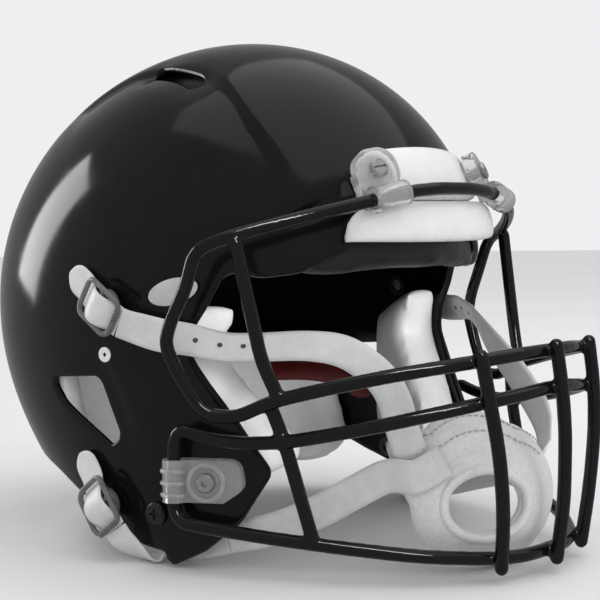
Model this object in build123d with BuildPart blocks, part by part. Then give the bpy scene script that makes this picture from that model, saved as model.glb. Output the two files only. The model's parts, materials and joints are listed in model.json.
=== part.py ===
from build123d import *
import os
from math import cos, radians, sin, sqrt, tan

# American football helmet, adult size, in millimetres.
# +Z is up, the face opening looks along -Y and the wearer's right side is at -X.
# The origin lies under the middle of the helmet, level with the tips of the jaw flaps.

os.makedirs("parts", exist_ok=True)

# ---------------------------------------------------------------- driving dimensions
half_width = 118.0        # widest half breadth of the shell
half_length = 140.5       # half length of the shell at its widest level
middle_y = 33.5           # centre of that level, front to back
waist_z = 125.0           # height of the widest level above the jaw tips
crown_height = 131.0      # from the widest level to the crown
crown_lean = -10.0        # how far the crown sits ahead of the widest level
jaw_taper = 0.086         # share of the breadth lost at the jaw tips
nape_taper = 88.0         # how far the nape comes in at the jaw tips' level
nape_power = 2.1
shell_wall = 4.0
liner_gap = 0.6           # air between the shell and the liner pads
wire_r = 3.0              # facemask bars are 6 mm steel
weld = 0.8                # depth of the facemask welds
strap_width = 16.0
strap_thick = 2.0
stud_r = 3.0
reach = 200.0             # half size of the solids that are used for cutting

right, left = -1, 1       # sign of X on the wearer's right and left
both_sides = {"right": right, "left": left}

# ---------------------------------------------------------------- shell surface
def section(z, gap=0.0):
    """Half breadth, half length and centre of the outer surface at a height, grown by gap."""
    if z >= waist_z:
        rise = min((z - waist_z) / (crown_height + gap), 1.0)
        size = sqrt(1.0 - rise * rise)
        return (half_width + gap) * size, (half_length + gap) * size, middle_y + crown_lean * rise
    drop = (waist_z - z) / waist_z
    lean = -crown_lean / crown_height * (waist_z - z) * (1.0 - drop)
    front = middle_y - half_length + lean
    back = middle_y + half_length + lean - nape_taper * drop**nape_power
    breadth = half_width * (1.0 - jaw_taper * drop * drop)
    return breadth + gap, (back - front) / 2 + gap, (back + front) / 2


def side_x(y, z, gap=0.0):
    """Half breadth of the surface at a point of the side view."""
    a, b, yc = section(z, gap)
    return a * sqrt(max(1.0 - ((y - yc) / b) ** 2, 0.0))


def front_y(x, z):
    """Y of the front of the surface at a point of the front view."""
    a, b, yc = section(z)
    return yc - b * sqrt(max(1.0 - (x / a) ** 2, 0.0))


def outward(x, y, z):
    """Unit normal of the surface near a point."""
    def level(px, py, pz):
        a, b, yc = section(pz)
        return (px / a) ** 2 + ((py - yc) / b) ** 2
    step = 0.5
    slope = [
        level(x + step, y, z) - level(x - step, y, z),
        level(x, y + step, z) - level(x, y - step, z),
        level(x, y, z + step) - level(x, y, z - step),
    ]
    return Vector(*slope).normalized()


def side_plane(side, y, z):
    """Plane that lies on the side of the shell, its normal pointing out."""
    x = side * side_x(y, z)
    return Plane(origin=(x, y, z), x_dir=(0, 0, 1), z_dir=outward(x, y, z))


def front_plane(x, z):
    """Plane that lies on the front of the shell, its normal pointing out."""
    y = front_y(x, z)
    return Plane(origin=(x, y, z), x_dir=(1, 0, 0), z_dir=outward(x, y, z))


def helmet_form(inset):
    """The space inside the shell's outer surface, moved inwards by inset."""
    a, b, c = half_width - inset, half_length - inset, crown_height - inset
    stretch = Matrix([[a, 0, 0, 0], [0, b, crown_lean, middle_y], [0, 0, c, waist_z], [0, 0, 0, 1]])
    on_base = (Align.CENTER, Align.CENTER, Align.MIN)
    half_ball = Sphere(1.0, arc_size1=0, align=on_base, mode=Mode.PRIVATE)
    dome = half_ball.transform_geometry(stretch)
    with BuildPart() as skirt:
        for z in (waist_z, 100, 75, 50, 25, 0, -25):
            breadth, length, yc = section(z, -inset)
            with BuildSketch(Plane(origin=(0, yc, z))):
                Ellipse(breadth, length)
        loft()
    return skirt.part + dome


outer_form = helmet_form(0)
inner_form = helmet_form(shell_wall)
liner_form = helmet_form(shell_wall + liner_gap)


# ---------------------------------------------------------------- bent bars
def arc_radii(points):
    """Corner radii that use 0.45 of the shorter run at each corner of a route."""
    radii = []
    for before, here, after in zip(points, points[1:], points[2:]):
        run_in = Vector(*here) - Vector(*before)
        run_out = Vector(*after) - Vector(*here)
        turn = radians(run_in.get_angle(run_out))
        radii.append(0.45 * min(run_in.length, run_out.length) / tan(turn / 2))
    return radii


def mirrored(points, side):
    """Points given for the left side, moved to the side asked for."""
    return [(side * x, y, z) for x, y, z in points]


# ---------------------------------------------------------------- shell
# Side view (y, z) of the edge, from the brow round the cheek and jaw to the nape.
edge_points = [
    (-160, 160), (-103, 160), (-88, 145.5), (-77, 137.5), (-63, 135.5), (-50, 139.5),
    (-43, 124), (-35.5, 112), (-33.5, 100), (-41, 88), (-54, 69), (-67.5, 46),
    (-56, 22.5), (-41.5, 9), (-24, 0), (-20.3, 0), (-20.3, 6.5), (-5, 8),
    (8, 16.5), (28, 23), (60, 36), (100, 42), (160, 38), (260, 38), (260, -60), (-160, -60),
]
edge_radii = [
    0, 20, 20, 12, 12, 7, 20, 14, 14, 30, 40, 7, 20, 20, 0, 0, 2, 8, 20, 60, 60, 60, 0, 0, 0, 0,
]
ear_points = [(51, 85.5), (16, 88), (4, 60), (8.5, 55), (27, 65.5), (42, 74.5)]
ear_radii = [3, 6, 4, 3, 30, 16]
vent_points = [(-50, 40), (-57, 38), (-66.5, 1), (-62, -5), (-58, 0)]
vent_radii = [2.5, 2.5, 3, 2.5, 12]

upper_snap = (4.0, 122.5)      # (y, z) of the snap studs and of other side fittings
lower_snap = (9.5, 27.0)
jaw_screw_at = (-17.0, 25.0)
valve_at = (10.0, 99.0)
clip_centre = (-44.5, 42.5)
clip_screw = (38.5, 181.0)      # (x, z) of the top clips' screws
pin_r = 4.5
screw_r = 2.2
valve_r = 3.6
hole_slack = 0.06               # radial room round the posts and pins

# Side clip block, given for the left side: its inner face lies along a chord of the shell.
clip_gap, clip_depth = 2.0, 7.5
clip_low, clip_high = 33.0, 53.5
clip_rear = Vector(side_x(-31, 42.5, clip_gap), -31)
clip_front = Vector(side_x(-60, 42.5, clip_gap), -60)
clip_along = (clip_front - clip_rear).normalized()
clip_out = Vector(-clip_along.Y, clip_along.X)
clip_middle = clip_rear + clip_along * 14
mask_post = (112.5, -32.5)      # (x, y) of the facemask's upright inside the clip


def pin_plane(side):
    """Plane on the inner face of a side clip, its normal along the release pin."""
    middle = (side * clip_middle.X, clip_middle.Y, clip_centre[1])
    return Plane(origin=middle, x_dir=(0, 0, 1), z_dir=(side * clip_out.X, clip_out.Y, 0))


def clip_plane(side):
    """Plane on the shell at a top clip's screw, its normal along the screw."""
    return front_plane(side * clip_screw[0], clip_screw[1])


def snap_plane(side, spot, gap):
    """Plane square to X above a snap stud's place on the shell."""
    x = side * (side_x(*spot) + gap)
    return Plane(origin=(x, *spot), x_dir=(0, 0, 1), z_dir=(side, 0, 0))


with BuildPart() as shell:
    add(outer_form)
    add(inner_form, mode=Mode.SUBTRACT)
    with BuildSketch(Plane.YZ):
        with BuildLine():
            FilletPolyline(*edge_points, radius=edge_radii, close=True)
        make_face()
    extrude(amount=reach, both=True, mode=Mode.SUBTRACT)
    with BuildSketch(Plane.YZ):
        with BuildLine():
            FilletPolyline(*ear_points, radius=ear_radii, close=True)
        make_face()
    extrude(amount=reach, both=True, mode=Mode.SUBTRACT)
    for side in both_sides.values():
        with BuildSketch(Plane.XY.offset(waist_z + 80)):
            with BuildLine():
                vent = [(-side * x, y) for x, y in vent_points]
                FilletPolyline(*vent, radius=vent_radii, close=True)
            make_face()
        extrude(amount=reach, mode=Mode.SUBTRACT)
        for spot in (upper_snap, lower_snap):
            with BuildSketch(snap_plane(side, spot, 0)):
                Circle(stud_r + hole_slack)
            extrude(amount=15, both=True, mode=Mode.SUBTRACT)
        for spot, radius in ((jaw_screw_at, screw_r), (valve_at, valve_r)):
            with BuildSketch(side_plane(side, *spot)):
                Circle(radius + hole_slack)
            extrude(amount=12, both=True, mode=Mode.SUBTRACT)
        with BuildSketch(pin_plane(side)):
            Circle(pin_r + hole_slack)
        extrude(amount=15, both=True, mode=Mode.SUBTRACT)
        with BuildSketch(clip_plane(side)):
            Circle(screw_r + hole_slack)
        extrude(amount=12, both=True, mode=Mode.SUBTRACT)
shell.part.label = "shell"
export_step(shell.part, "parts/shell.step")


# ---------------------------------------------------------------- front bumper
plate_thick, plate_low, plate_top = 4.0, 169.5, 193.0
roll_thick, roll_low, roll_top = 9.0, 149.5, 169.0
plate_form = helmet_form(-plate_thick)
roll_form = helmet_form(-roll_thick)
skin_form = helmet_form(-0.3)

with BuildPart() as front_bumper:
    add(plate_form)
    with BuildSketch(Plane.XZ):
        with Locations((0, (plate_low + plate_top) / 2)):
            RectangleRounded(93, plate_top - plate_low, 10)
    extrude(amount=reach, mode=Mode.INTERSECT)
    add(skin_form, mode=Mode.SUBTRACT)
    for side in both_sides.values():
        with BuildSketch(clip_plane(side)):
            Circle(screw_r + hole_slack)
        extrude(amount=12, both=True, mode=Mode.SUBTRACT)

with BuildPart() as bumper_roll:
    add(roll_form)
    with BuildSketch(Plane.XZ):
        with Locations((0, (roll_low + roll_top) / 2)):
            RectangleRounded(112, roll_top - roll_low, 8)
    extrude(amount=reach, mode=Mode.INTERSECT)
    add(skin_form, mode=Mode.SUBTRACT)

for name, piece in (("front_bumper_plate", front_bumper), ("front_bumper_roll", bumper_roll)):
    piece.part.label = name
    export_step(piece.part, f"parts/{name}.step")


# ---------------------------------------------------------------- liner pads
pad_core = helmet_form(shell_wall + liner_gap + 20)
jaw_core = helmet_form(shell_wall + liner_gap + 30)
neck_core = helmet_form(shell_wall + liner_gap + 18)
jaw_outline = [
    (-44, 134), (-34, 116), (-30, 102), (-38, 88), (-60, 52), (-58, 42), (-38, 34), (2, 36),
    (3, 108), (-12, 118),
]
neck_outline = [(200, 14), (48, 14), (30, 28), (44, 60), (48, 94), (200, 94)]
brow_outline = [
    (-74, 140), (-56, 134.5), (-20, 138.5), (20, 138.5), (56, 134.5), (74, 140), (66, 170), (-66, 170),
]
temple_outline = [(-20, 146), (-10, 134), (64, 134), (70, 146), (64, 184), (-10, 184)]
cushions = [
    # name, form of the layer's inner face, view plane, outline in that view, depth of the cut
    ("crown_pad", pad_core, Plane.XY.offset(196), [(-46, -20), (46, -20), (46, 72), (-46, 72)], reach),
    ("front_pad", pad_core, Plane.XZ, brow_outline, reach),
    ("back_pad", pad_core, Plane.XZ, [(-62, 98), (62, 98), (62, 190), (-62, 190)], -reach),
    ("neck_pad", neck_core, Plane.YZ, neck_outline, None),
    ("side_pad_right", pad_core, Plane.YZ, temple_outline, -reach),
    ("side_pad_left", pad_core, Plane.YZ, temple_outline, reach),
    ("jaw_pad_right", jaw_core, Plane.YZ, jaw_outline, -reach),
    ("jaw_pad_left", jaw_core, Plane.YZ, jaw_outline, reach),
]
for name, core, view, outline, depth in cushions:
    with BuildPart() as cushion:
        add(liner_form)
        with BuildSketch(view):
            with BuildLine():
                FilletPolyline(*outline, radius=[6] * len(outline), close=True)
            make_face()
        extrude(amount=depth or reach, both=depth is None, mode=Mode.INTERSECT)
        add(core, mode=Mode.SUBTRACT)
        if name.startswith("jaw"):
            with BuildSketch(pin_plane(both_sides[name.split("_")[-1]]).offset(-15)):
                Circle(11)
            extrude(amount=15, mode=Mode.SUBTRACT)
    cushion.part.label = name
    export_step(cushion.part, f"parts/{name}.step")


# ---------------------------------------------------------------- facemask
# Routes of the bars for the left side, from the middle plane outwards.
eye_loop_route = [
    (0, -112, 176), (12, -112, 176), (31.6, -110, 174.8), (53, -104, 170.5), (75, -94, 165.8),
    (95, -80, 160.2), (111.6, -64.3, 154.2), (117.5, -53, 149), (117.5, -46.5, 131), (120, -40, 118),
    (121.5, -37, 107), (118.5, -43, 92), (112.5, -53, 75), (106.5, -66, 74), (100, -82.5, 82),
    (90, -104, 88), (75, -126, 93.5), (60, -142, 97), (44, -153, 99.3), (24, -159.5, 101),
    (10, -161, 101.3), (0, -161, 101.3),
]
lower_loop_route = [
    (0, -164, 84.6), (10, -164, 84.6), (25, -162, 83.2), (43, -155, 81), (62, -140, 76.5),
    (80, -116, 70), (95, -86, 63.5), (103, -66, 62), (109, -48, 64), (112.5, -36.5, 67),
    (112.5, -32.5, 60), (112.5, -32.5, 28), (112.5, -38, 23.5), (108.5, -52, 22.5), (98, -77, 20),
    (80, -108, 16.5), (60, -134, 13), (34, -154, 10.5), (18, -160, 10), (8, -161, 10), (0, -161, 10),
]
bar_pitch = 2 * wire_r - weld           # centre distance of two welded bars
centre_route = [
    (0, -161 - bar_pitch, 104), (0, -164 - bar_pitch, 84.6), (0, -165.5 - bar_pitch, 66),
    (0, -165 - bar_pitch, 34), (0, -161 - bar_pitch, 6.5),
]
flank_route = [
    (46.5, -156.6, 102), (45, -160.2, 81), (41.5, -162.3, 60), (37.5, -162, 34), (34.8, -158.9, 7),
]
eye_strut_route = [(108.3, -69.5, 152), (103.2, -79.3, 100), (99, -84.6, 85)]
side_strut_route = [(98.6, -79.5, 81), (93.5, -83.5, 64), (88, -95, 20)]

for name, route in (("facemask_eye_loop", eye_loop_route), ("facemask_lower_loop", lower_loop_route)):
    with BuildPart() as loop:
        with BuildLine() as half:
            FilletPolyline(*route, radius=arc_radii(route))
        with BuildSketch(Plane(origin=half.line @ 0, z_dir=half.line % 0)):
            Circle(wire_r)
        sweep()
        mirror(about=Plane.YZ)
    loop.part.label = name
    export_step(loop.part, f"parts/{name}.step")

uprights = {"facemask_centre_upright": centre_route}
for label, side in both_sides.items():
    uprights[f"facemask_front_upright_{label}"] = mirrored(flank_route, side)
    uprights[f"facemask_eye_strut_{label}"] = mirrored(eye_strut_route, side)
    uprights[f"facemask_side_strut_{label}"] = mirrored(side_strut_route, side)
for name, route in uprights.items():
    with BuildPart() as upright:
        with BuildLine() as line:
            FilletPolyline(*route, radius=arc_radii(route))
        with BuildSketch(Plane(origin=line.line @ 0, z_dir=line.line % 0)):
            Circle(wire_r)
        sweep()
        for end in (line.line @ 0, line.line @ 1):
            with Locations(end):
                Sphere(wire_r)
    upright.part.label = name
    export_step(upright.part, f"parts/{name}.step")


# ---------------------------------------------------------------- top clips
brow_bar_at = Vector(45.2, -106.6, 172.2)       # brow bar's centre under the left clip
brow_bar_dir = Vector(21.4, 6.0, -4.3).normalized()
clip_block = 6.0
clip_lift = 0.9
clip_under = helmet_form(-plate_thick - 0.3)
below_roll_top = Pos(0, -100, roll_top + 0.4 - 50) * Box(130, 200, 100)
roll_room = helmet_form(-roll_thick - 0.4) & below_roll_top

for label, side in both_sides.items():
    base = clip_plane(side).offset(plate_thick + clip_lift)
    grip_at = Vector(side * brow_bar_at.X, brow_bar_at.Y, brow_bar_at.Z)
    grip_dir = Vector(side * brow_bar_dir.X, brow_bar_dir.Y, brow_bar_dir.Z)
    with BuildPart() as top_clip:
        with BuildSketch(base):
            RectangleRounded(22, 21, 9)
            with Locations((side * 4.0, -9)):
                Rectangle(17, 18)
        extrude(amount=clip_block)
        with BuildSketch(Plane(origin=grip_at - grip_dir * 9, z_dir=grip_dir)):
            Circle(wire_r + 3.4)
        extrude(amount=18)
        with BuildSketch(Plane(origin=grip_at - grip_dir * 20, z_dir=grip_dir)):
            Circle(wire_r + 0.35)
        extrude(amount=40, mode=Mode.SUBTRACT)
        with BuildSketch(base):
            Circle(screw_r + hole_slack)
        extrude(amount=clip_block, mode=Mode.SUBTRACT)
        add(clip_under, mode=Mode.SUBTRACT)
        add(roll_room, mode=Mode.SUBTRACT)
    top_clip.part.label = f"top_clip_{label}"
    export_step(top_clip.part, f"parts/top_clip_{label}.step")

with BuildPart() as top_clip_screws:
    for side in both_sides.values():
        seat = clip_plane(side).offset(plate_thick + clip_lift + clip_block)
        with BuildSketch(seat):
            Circle(screw_r)
        extrude(amount=-clip_block - plate_thick - 9)
        with BuildSketch(seat):
            Circle(4.6)
        extrude(amount=2.4)
        with BuildSketch(seat.offset(2.4)):
            SlotOverall(7.0, 1.2)
        extrude(amount=-1.2, mode=Mode.SUBTRACT)
    chamfer(top_clip_screws.edges().filter_by(GeomType.CIRCLE).filter_by(lambda e: e.radius > 4.5), 0.9)
top_clip_screws.part.label = "top_clip_screws"
export_step(top_clip_screws.part, "parts/top_clip_screws.step")

with BuildPart() as top_clip_nuts:
    for side in both_sides.values():
        seat = clip_plane(side).offset(-shell_wall - 1.2)
        with BuildSketch(seat):
            RegularPolygon(5.0, 6)
            Circle(screw_r + 0.05, mode=Mode.SUBTRACT)
        extrude(amount=-3)
top_clip_nuts.part.label = "top_clip_nuts"
export_step(top_clip_nuts.part, "parts/top_clip_nuts.step")


# ---------------------------------------------------------------- side clips
# Outline of a clip from its side: height above the pin and distance ahead of it.
clip_view = [(10.2, 15), (-3, 17.5), (-9.4, 8), (-9.4, -30), (10.2, -30)]
for label, side in both_sides.items():
    corners = [
        clip_rear, clip_front, clip_front + clip_out * 4.5,
        clip_front - clip_along * 7 + clip_out * clip_depth, clip_rear + clip_out * clip_depth,
    ]
    with BuildPart() as side_clip:
        with BuildSketch(Plane.XY.offset(clip_low)):
            with BuildLine():
                Polyline(*[(side * p.X, p.Y) for p in corners], close=True)
            make_face()
            with Locations((side * mask_post[0], mask_post[1])):
                Circle(wire_r + 2.4)
                Circle(wire_r + 0.3, mode=Mode.SUBTRACT)
        extrude(amount=clip_high - clip_low)
        with BuildSketch(pin_plane(side)):
            with BuildLine():
                view = [(z, side * ahead) for z, ahead in clip_view]
                FilletPolyline(*view, radius=[6, 5, 3, 0, 0], close=True)
            make_face()
        extrude(amount=30, both=True, mode=Mode.INTERSECT)
        with BuildSketch(pin_plane(side)):
            Circle(pin_r + hole_slack)
        extrude(amount=12, mode=Mode.SUBTRACT)
    side_clip.part.label = f"side_clip_{label}"
    export_step(side_clip.part, f"parts/side_clip_{label}.step")

    with BuildPart() as release_pin:
        with BuildSketch(pin_plane(side).offset(-clip_gap - shell_wall + 1.0)):
            Circle(pin_r)
        extrude(amount=clip_gap + shell_wall - 1.0 + clip_depth + 2.6)
        with BuildSketch(pin_plane(side).offset(clip_depth + 2.6)):
            Circle(1.6)
        extrude(amount=-2, mode=Mode.SUBTRACT)
        chamfer(release_pin.edges().filter_by(GeomType.CIRCLE).filter_by(lambda e: e.radius > 4), 0.6)
    release_pin.part.label = f"release_pin_{label}"
    export_step(release_pin.part, f"parts/release_pin_{label}.step")

with BuildPart() as clip_sockets:
    for side in both_sides.values():
        with BuildSketch(pin_plane(side).offset(-clip_gap - shell_wall - 3.0)):
            Circle(8.5)
            Circle(pin_r + hole_slack, mode=Mode.SUBTRACT)
        extrude(amount=-3.0)
clip_sockets.part.label = "side_clip_sockets"
export_step(clip_sockets.part, "parts/side_clip_sockets.step")


# ---------------------------------------------------------------- jaw screws and valves
with BuildPart() as jaw_screws:
    for side in both_sides.values():
        with BuildSketch(side_plane(side, *jaw_screw_at).offset(0.4)):
            Circle(5.5)
        extrude(amount=2.4)
        with BuildSketch(side_plane(side, *jaw_screw_at).offset(0.4)):
            Circle(screw_r)
        extrude(amount=-shell_wall - 4.0)
        with BuildSketch(side_plane(side, *jaw_screw_at).offset(2.8)):
            Rectangle(5.0, 1.1)
            Rectangle(1.1, 5.0)
        extrude(amount=-1.1, mode=Mode.SUBTRACT)
    chamfer(jaw_screws.edges().filter_by(GeomType.CIRCLE).filter_by(lambda e: e.radius > 5), 0.9)
jaw_screws.part.label = "jaw_screws"
export_step(jaw_screws.part, "parts/jaw_screws.step")

with BuildPart() as jaw_nuts:
    for side in both_sides.values():
        with BuildSketch(side_plane(side, *jaw_screw_at).offset(-shell_wall - 0.9)):
            RegularPolygon(5.0, 6)
            Circle(screw_r + 0.05, mode=Mode.SUBTRACT)
        extrude(amount=-2.6)
jaw_nuts.part.label = "jaw_nuts"
export_step(jaw_nuts.part, "parts/jaw_nuts.step")

needle_r, needle_depth = 1.0, 8.0
for label, side in both_sides.items():
    with BuildPart() as valve:
        with BuildSketch(side_plane(side, *valve_at).offset(0.5)):
            Circle(valve_r)
            Circle(needle_r, mode=Mode.SUBTRACT)
        extrude(amount=-needle_depth)
        with BuildSketch(side_plane(side, *valve_at).offset(0.5 - needle_depth)):
            Circle(valve_r)
        extrude(amount=-2.0)
    valve.part.label = f"inflation_valve_{label}"
    export_step(valve.part, f"parts/inflation_valve_{label}.step")


# ---------------------------------------------------------------- snaps and buckles
snap_spots = {"upper": upper_snap, "lower": lower_snap}
snap_lift = {"upper": 0.9, "lower": 1.6}        # flange height over the curved shell
flange = 1.2
socket_r, socket_depth = 3.6, 4.0
# Direction of the strap in the side view, from the cup's end to the tail.
strap_slope = {"upper": (0.84, 0.54), "lower": (0.60, 0.80)}

with BuildPart() as snap_studs:
    for side in both_sides.values():
        for place, spot in snap_spots.items():
            with BuildSketch(snap_plane(side, spot, snap_lift[place])):
                Circle(6.0)
            extrude(amount=flange)
            with BuildSketch(snap_plane(side, spot, snap_lift[place])):
                Circle(stud_r)
            extrude(amount=-shell_wall - 3.6)
            with BuildSketch(snap_plane(side, spot, snap_lift[place] + flange)):
                Circle(socket_r)
            extrude(amount=socket_depth - 0.4)
snap_studs.part.label = "snap_studs"
export_step(snap_studs.part, "parts/snap_studs.step")

with BuildPart() as snap_nuts:
    for side in both_sides.values():
        for place, spot in snap_spots.items():
            with BuildSketch(snap_plane(side, spot, -shell_wall - 1.5)):
                Circle(5.5)
                Circle(stud_r + 0.05, mode=Mode.SUBTRACT)
            extrude(amount=-2.2)
snap_nuts.part.label = "snap_nuts"
export_step(snap_nuts.part, "parts/snap_nuts.step")

buckle_long, buckle_wide, buckle_thick = 26.0, 21.0, 3.0
tail_reach = 29.0
for label, side in both_sides.items():
    for place, spot in snap_spots.items():
        base = snap_plane(side, spot, snap_lift[place] + flange + 0.3)
        slope_y, slope_z = strap_slope[place]
        along = Vector(0, slope_y, slope_z)
        laid = Plane(origin=base.origin, x_dir=along, z_dir=base.z_dir)
        with BuildPart() as buckle:
            with BuildSketch(laid):
                Circle(8.2)
                Circle(socket_r + hole_slack, mode=Mode.SUBTRACT)
            extrude(amount=socket_depth)
            with BuildSketch(laid.offset(socket_depth)):
                Circle(8.2)
            extrude(amount=1.0)
            with BuildSketch(laid.offset(socket_depth + 1.0)):
                RectangleRounded(buckle_long, buckle_wide, 4)
                with Locations((-7.2, 0), (7.2, 0)):
                    RectangleRounded(6.4, strap_width + 0.8, 1.5, mode=Mode.SUBTRACT)
            extrude(amount=buckle_thick)
        name = f"buckle_{place}_{label}"
        buckle.part.label = name
        export_step(buckle.part, f"parts/{name}.step")

        with BuildPart() as tail:
            with BuildSketch(laid.offset(2.0)):
                with Locations(((buckle_long / 2 + 0.4 + tail_reach) / 2, 0)):
                    RectangleRounded(tail_reach - buckle_long / 2 - 0.4, strap_width, 7)
            extrude(amount=strap_thick)
        name = f"strap_tail_{place}_{label}"
        tail.part.label = name
        export_step(tail.part, f"parts/{name}.step")


# ---------------------------------------------------------------- chin cup
cup_centre = (-4.0, -112.0, 33.0)
cup_yaw = radians(30)                           # the cup hangs turned towards the right side
cup_size = (50.0, 48.0, 42.0)
cup_wall, cup_lining = 5.0, 3.5
cup_across = (cos(cup_yaw), -sin(cup_yaw), 0)
cup_facing = (-sin(cup_yaw), -cos(cup_yaw), 0)
cup_front = Plane(origin=cup_centre, x_dir=cup_across, z_dir=cup_facing)


def cup_form(inset):
    """Egg that bounds the chin cup, moved inwards by inset."""
    a, b, c = (size - inset for size in cup_size)
    x, y, z = cup_centre
    stretch = Matrix([[a, 0, 0, x], [0, b, 0, y], [0, 0, c, z], [0, 0, 0, 1]])
    return Sphere(1.0, mode=Mode.PRIVATE).transform_geometry(stretch)


lining_at = cup_wall + 0.4
layers = [("chin_cup", 0, cup_wall), ("chin_cup_lining", lining_at, lining_at + cup_lining)]
for name, outer, inner in layers:
    margin = 1.5 if outer else 0.0
    outer_egg, inner_egg = cup_form(outer), cup_form(inner)
    with BuildPart() as cup:
        add(outer_egg)
        with BuildSketch(cup_front.offset(24)):
            RectangleRounded(94 - 2 * margin, 62 - 2 * margin, 22)
            with Locations((-4, 0)):
                Ellipse(19 + margin, 14.5 + margin, mode=Mode.SUBTRACT)
        extrude(amount=40, mode=Mode.INTERSECT)
        add(inner_egg, mode=Mode.SUBTRACT)
    cup.part.label = name
    export_step(cup.part, f"parts/{name}.step")


# ---------------------------------------------------------------- chin straps
# Stations of (centre, direction across), from each buckle to the cup.
straps = {
    "upper_strap_right": [
        ((-119, -8.5, 115), (0, -0.54, 0.84)), ((-115.5, -17, 111.5), (0, -0.35, 0.9)),
        ((-112, -26, 109.5), (0.2, -0.05, 1)), ((-107.5, -37, 108), (0.35, 0.2, 1)),
        ((-97.5, -51.5, 104.6), (0.5, 0.35, 0.8)), ((-87, -65.5, 104.4), (0.5, 0.35, 0.8)),
        ((-74.6, -83, 104.8), (0.45, 0.25, 0.8)), ((-65.4, -96, 102), (0.4, 0, 0.8)),
        ((-57.5, -107, 93), (0.5, -0.3, 0.7)), ((-53, -113.5, 82), (0.6, -0.6, 0.4)),
        ((-52, -115, 72), (0.6, -0.75, 0.1)),
    ],
    "upper_strap_left": [
        ((119, -8.5, 115), (0, -0.54, 0.84)), ((115.5, -17, 112), (0, -0.35, 0.9)),
        ((112, -26, 111), (-0.2, -0.05, 1)), ((107.5, -37, 111), (-0.3, 0.2, 1)),
        ((99.5, -49, 111.5), (-0.4, 0.3, 0.9)), ((90, -63, 107), (-0.4, 0.2, 0.9)),
        ((78.6, -79.7, 97), (-0.4, 0.1, 0.9)), ((60.5, -106.5, 82.5), (-0.4, 0.1, 0.9)),
        ((47, -126, 70), (-0.4, 0.1, 0.9)), ((35, -141, 60), (-0.4, 0.1, 0.9)),
    ],
    "lower_strap_right": [
        ((-115.5, 1.1, 15.9), (0, -0.8, 0.6)), ((-112.5, -3.5, 7.5), (0, -0.9, 0.35)),
        ((-106.5, -7, 2), (-0.1, -1, 0)), ((-98.5, -12.5, 3), (-0.4, -0.9, 0.25)),
        ((-93.5, -27, 9), (-0.1, 0.3, 0.9)), ((-89.5, -44, 14), (0, 0.2, 1)),
        ((-81, -64, 23), (0, 0.2, 1)), ((-70, -81, 33), (0, 0.2, 1)), ((-59, -98, 44), (0, 0.2, 1)),
    ],
    "lower_strap_left": [
        ((115.5, 1.1, 15.9), (0, -0.8, 0.6)), ((112.5, -3.5, 7.5), (0, -0.9, 0.35)),
        ((106.5, -7, 2), (0.1, -1, 0)), ((98.5, -12.5, 3), (0.4, -0.9, 0.25)),
        ((93.5, -27, 9), (0.1, 0.3, 0.9)), ((89.5, -44, 14), (0, 0.2, 1)),
        ((80, -66, 21), (0, 0.2, 1)), ((66, -92, 29), (0, 0.2, 1)), ((52, -114, 36), (0, 0.2, 1)),
        ((42, -130, 43), (0, 0.2, 1)),
    ],
}
for name, stations in straps.items():
    with BuildPart() as strap:
        centres = [Vector(*centre) for centre, across in stations]
        for i, (centre, across) in enumerate(stations):
            ahead = centres[min(i + 1, len(centres) - 1)] - centres[max(i - 1, 0)]
            flat = Vector(*across) - ahead * (Vector(*across).dot(ahead) / ahead.dot(ahead))
            with BuildSketch(Plane(origin=centre, x_dir=flat, z_dir=ahead)):
                Rectangle(strap_width, strap_thick)
        loft(ruled=True)
    strap.part.label = name
    export_step(strap.part, f"parts/{name}.step")
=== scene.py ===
import bpy
import bmesh
import json
import numpy as np
from math import cos, pi, radians, sin, sqrt
from mathutils import Matrix, Vector

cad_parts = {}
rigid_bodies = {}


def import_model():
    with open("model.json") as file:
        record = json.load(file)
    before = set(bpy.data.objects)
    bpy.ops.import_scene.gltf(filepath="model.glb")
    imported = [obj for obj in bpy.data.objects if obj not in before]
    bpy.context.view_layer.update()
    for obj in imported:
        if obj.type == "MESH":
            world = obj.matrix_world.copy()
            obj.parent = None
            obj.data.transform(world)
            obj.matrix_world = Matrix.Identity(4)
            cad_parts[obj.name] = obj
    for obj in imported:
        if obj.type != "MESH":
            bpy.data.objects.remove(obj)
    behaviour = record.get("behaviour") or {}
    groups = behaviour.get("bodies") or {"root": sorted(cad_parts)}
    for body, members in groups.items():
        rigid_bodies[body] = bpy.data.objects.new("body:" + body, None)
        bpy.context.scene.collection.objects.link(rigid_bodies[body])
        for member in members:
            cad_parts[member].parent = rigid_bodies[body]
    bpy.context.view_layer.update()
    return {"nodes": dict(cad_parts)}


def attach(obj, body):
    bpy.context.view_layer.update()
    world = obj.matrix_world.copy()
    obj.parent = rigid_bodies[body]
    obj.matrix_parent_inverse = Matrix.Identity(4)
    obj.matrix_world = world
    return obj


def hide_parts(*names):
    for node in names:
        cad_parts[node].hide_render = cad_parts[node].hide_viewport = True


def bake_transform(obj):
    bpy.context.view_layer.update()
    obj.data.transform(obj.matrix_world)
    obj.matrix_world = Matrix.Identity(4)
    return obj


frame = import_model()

scene = bpy.context.scene
nodes = frame["nodes"]
MM = 0.001
SAME_POINT = 0.00002      # metres under which two corners of a mesh are one
SIDES = {"right": -1, "left": 1}


# ---------------------------------------------------------------- camera
def aim_camera(azimuth, elevation, roll, distance, target):
    """Placing of a camera that looks at the target, its angles in degrees."""
    a, e, r = radians(azimuth), radians(elevation), radians(roll)
    back = Vector((sin(a) * cos(e), -cos(a) * cos(e), sin(e)))
    right = Vector((cos(a), sin(a), 0))
    up = back.cross(right)
    turned = right * cos(r) + up * sin(r)
    lifted = up * cos(r) - right * sin(r)
    spin = Matrix((turned, lifted, back)).transposed().to_4x4()
    return Matrix.Translation(Vector(target) + back * distance) @ spin


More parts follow.
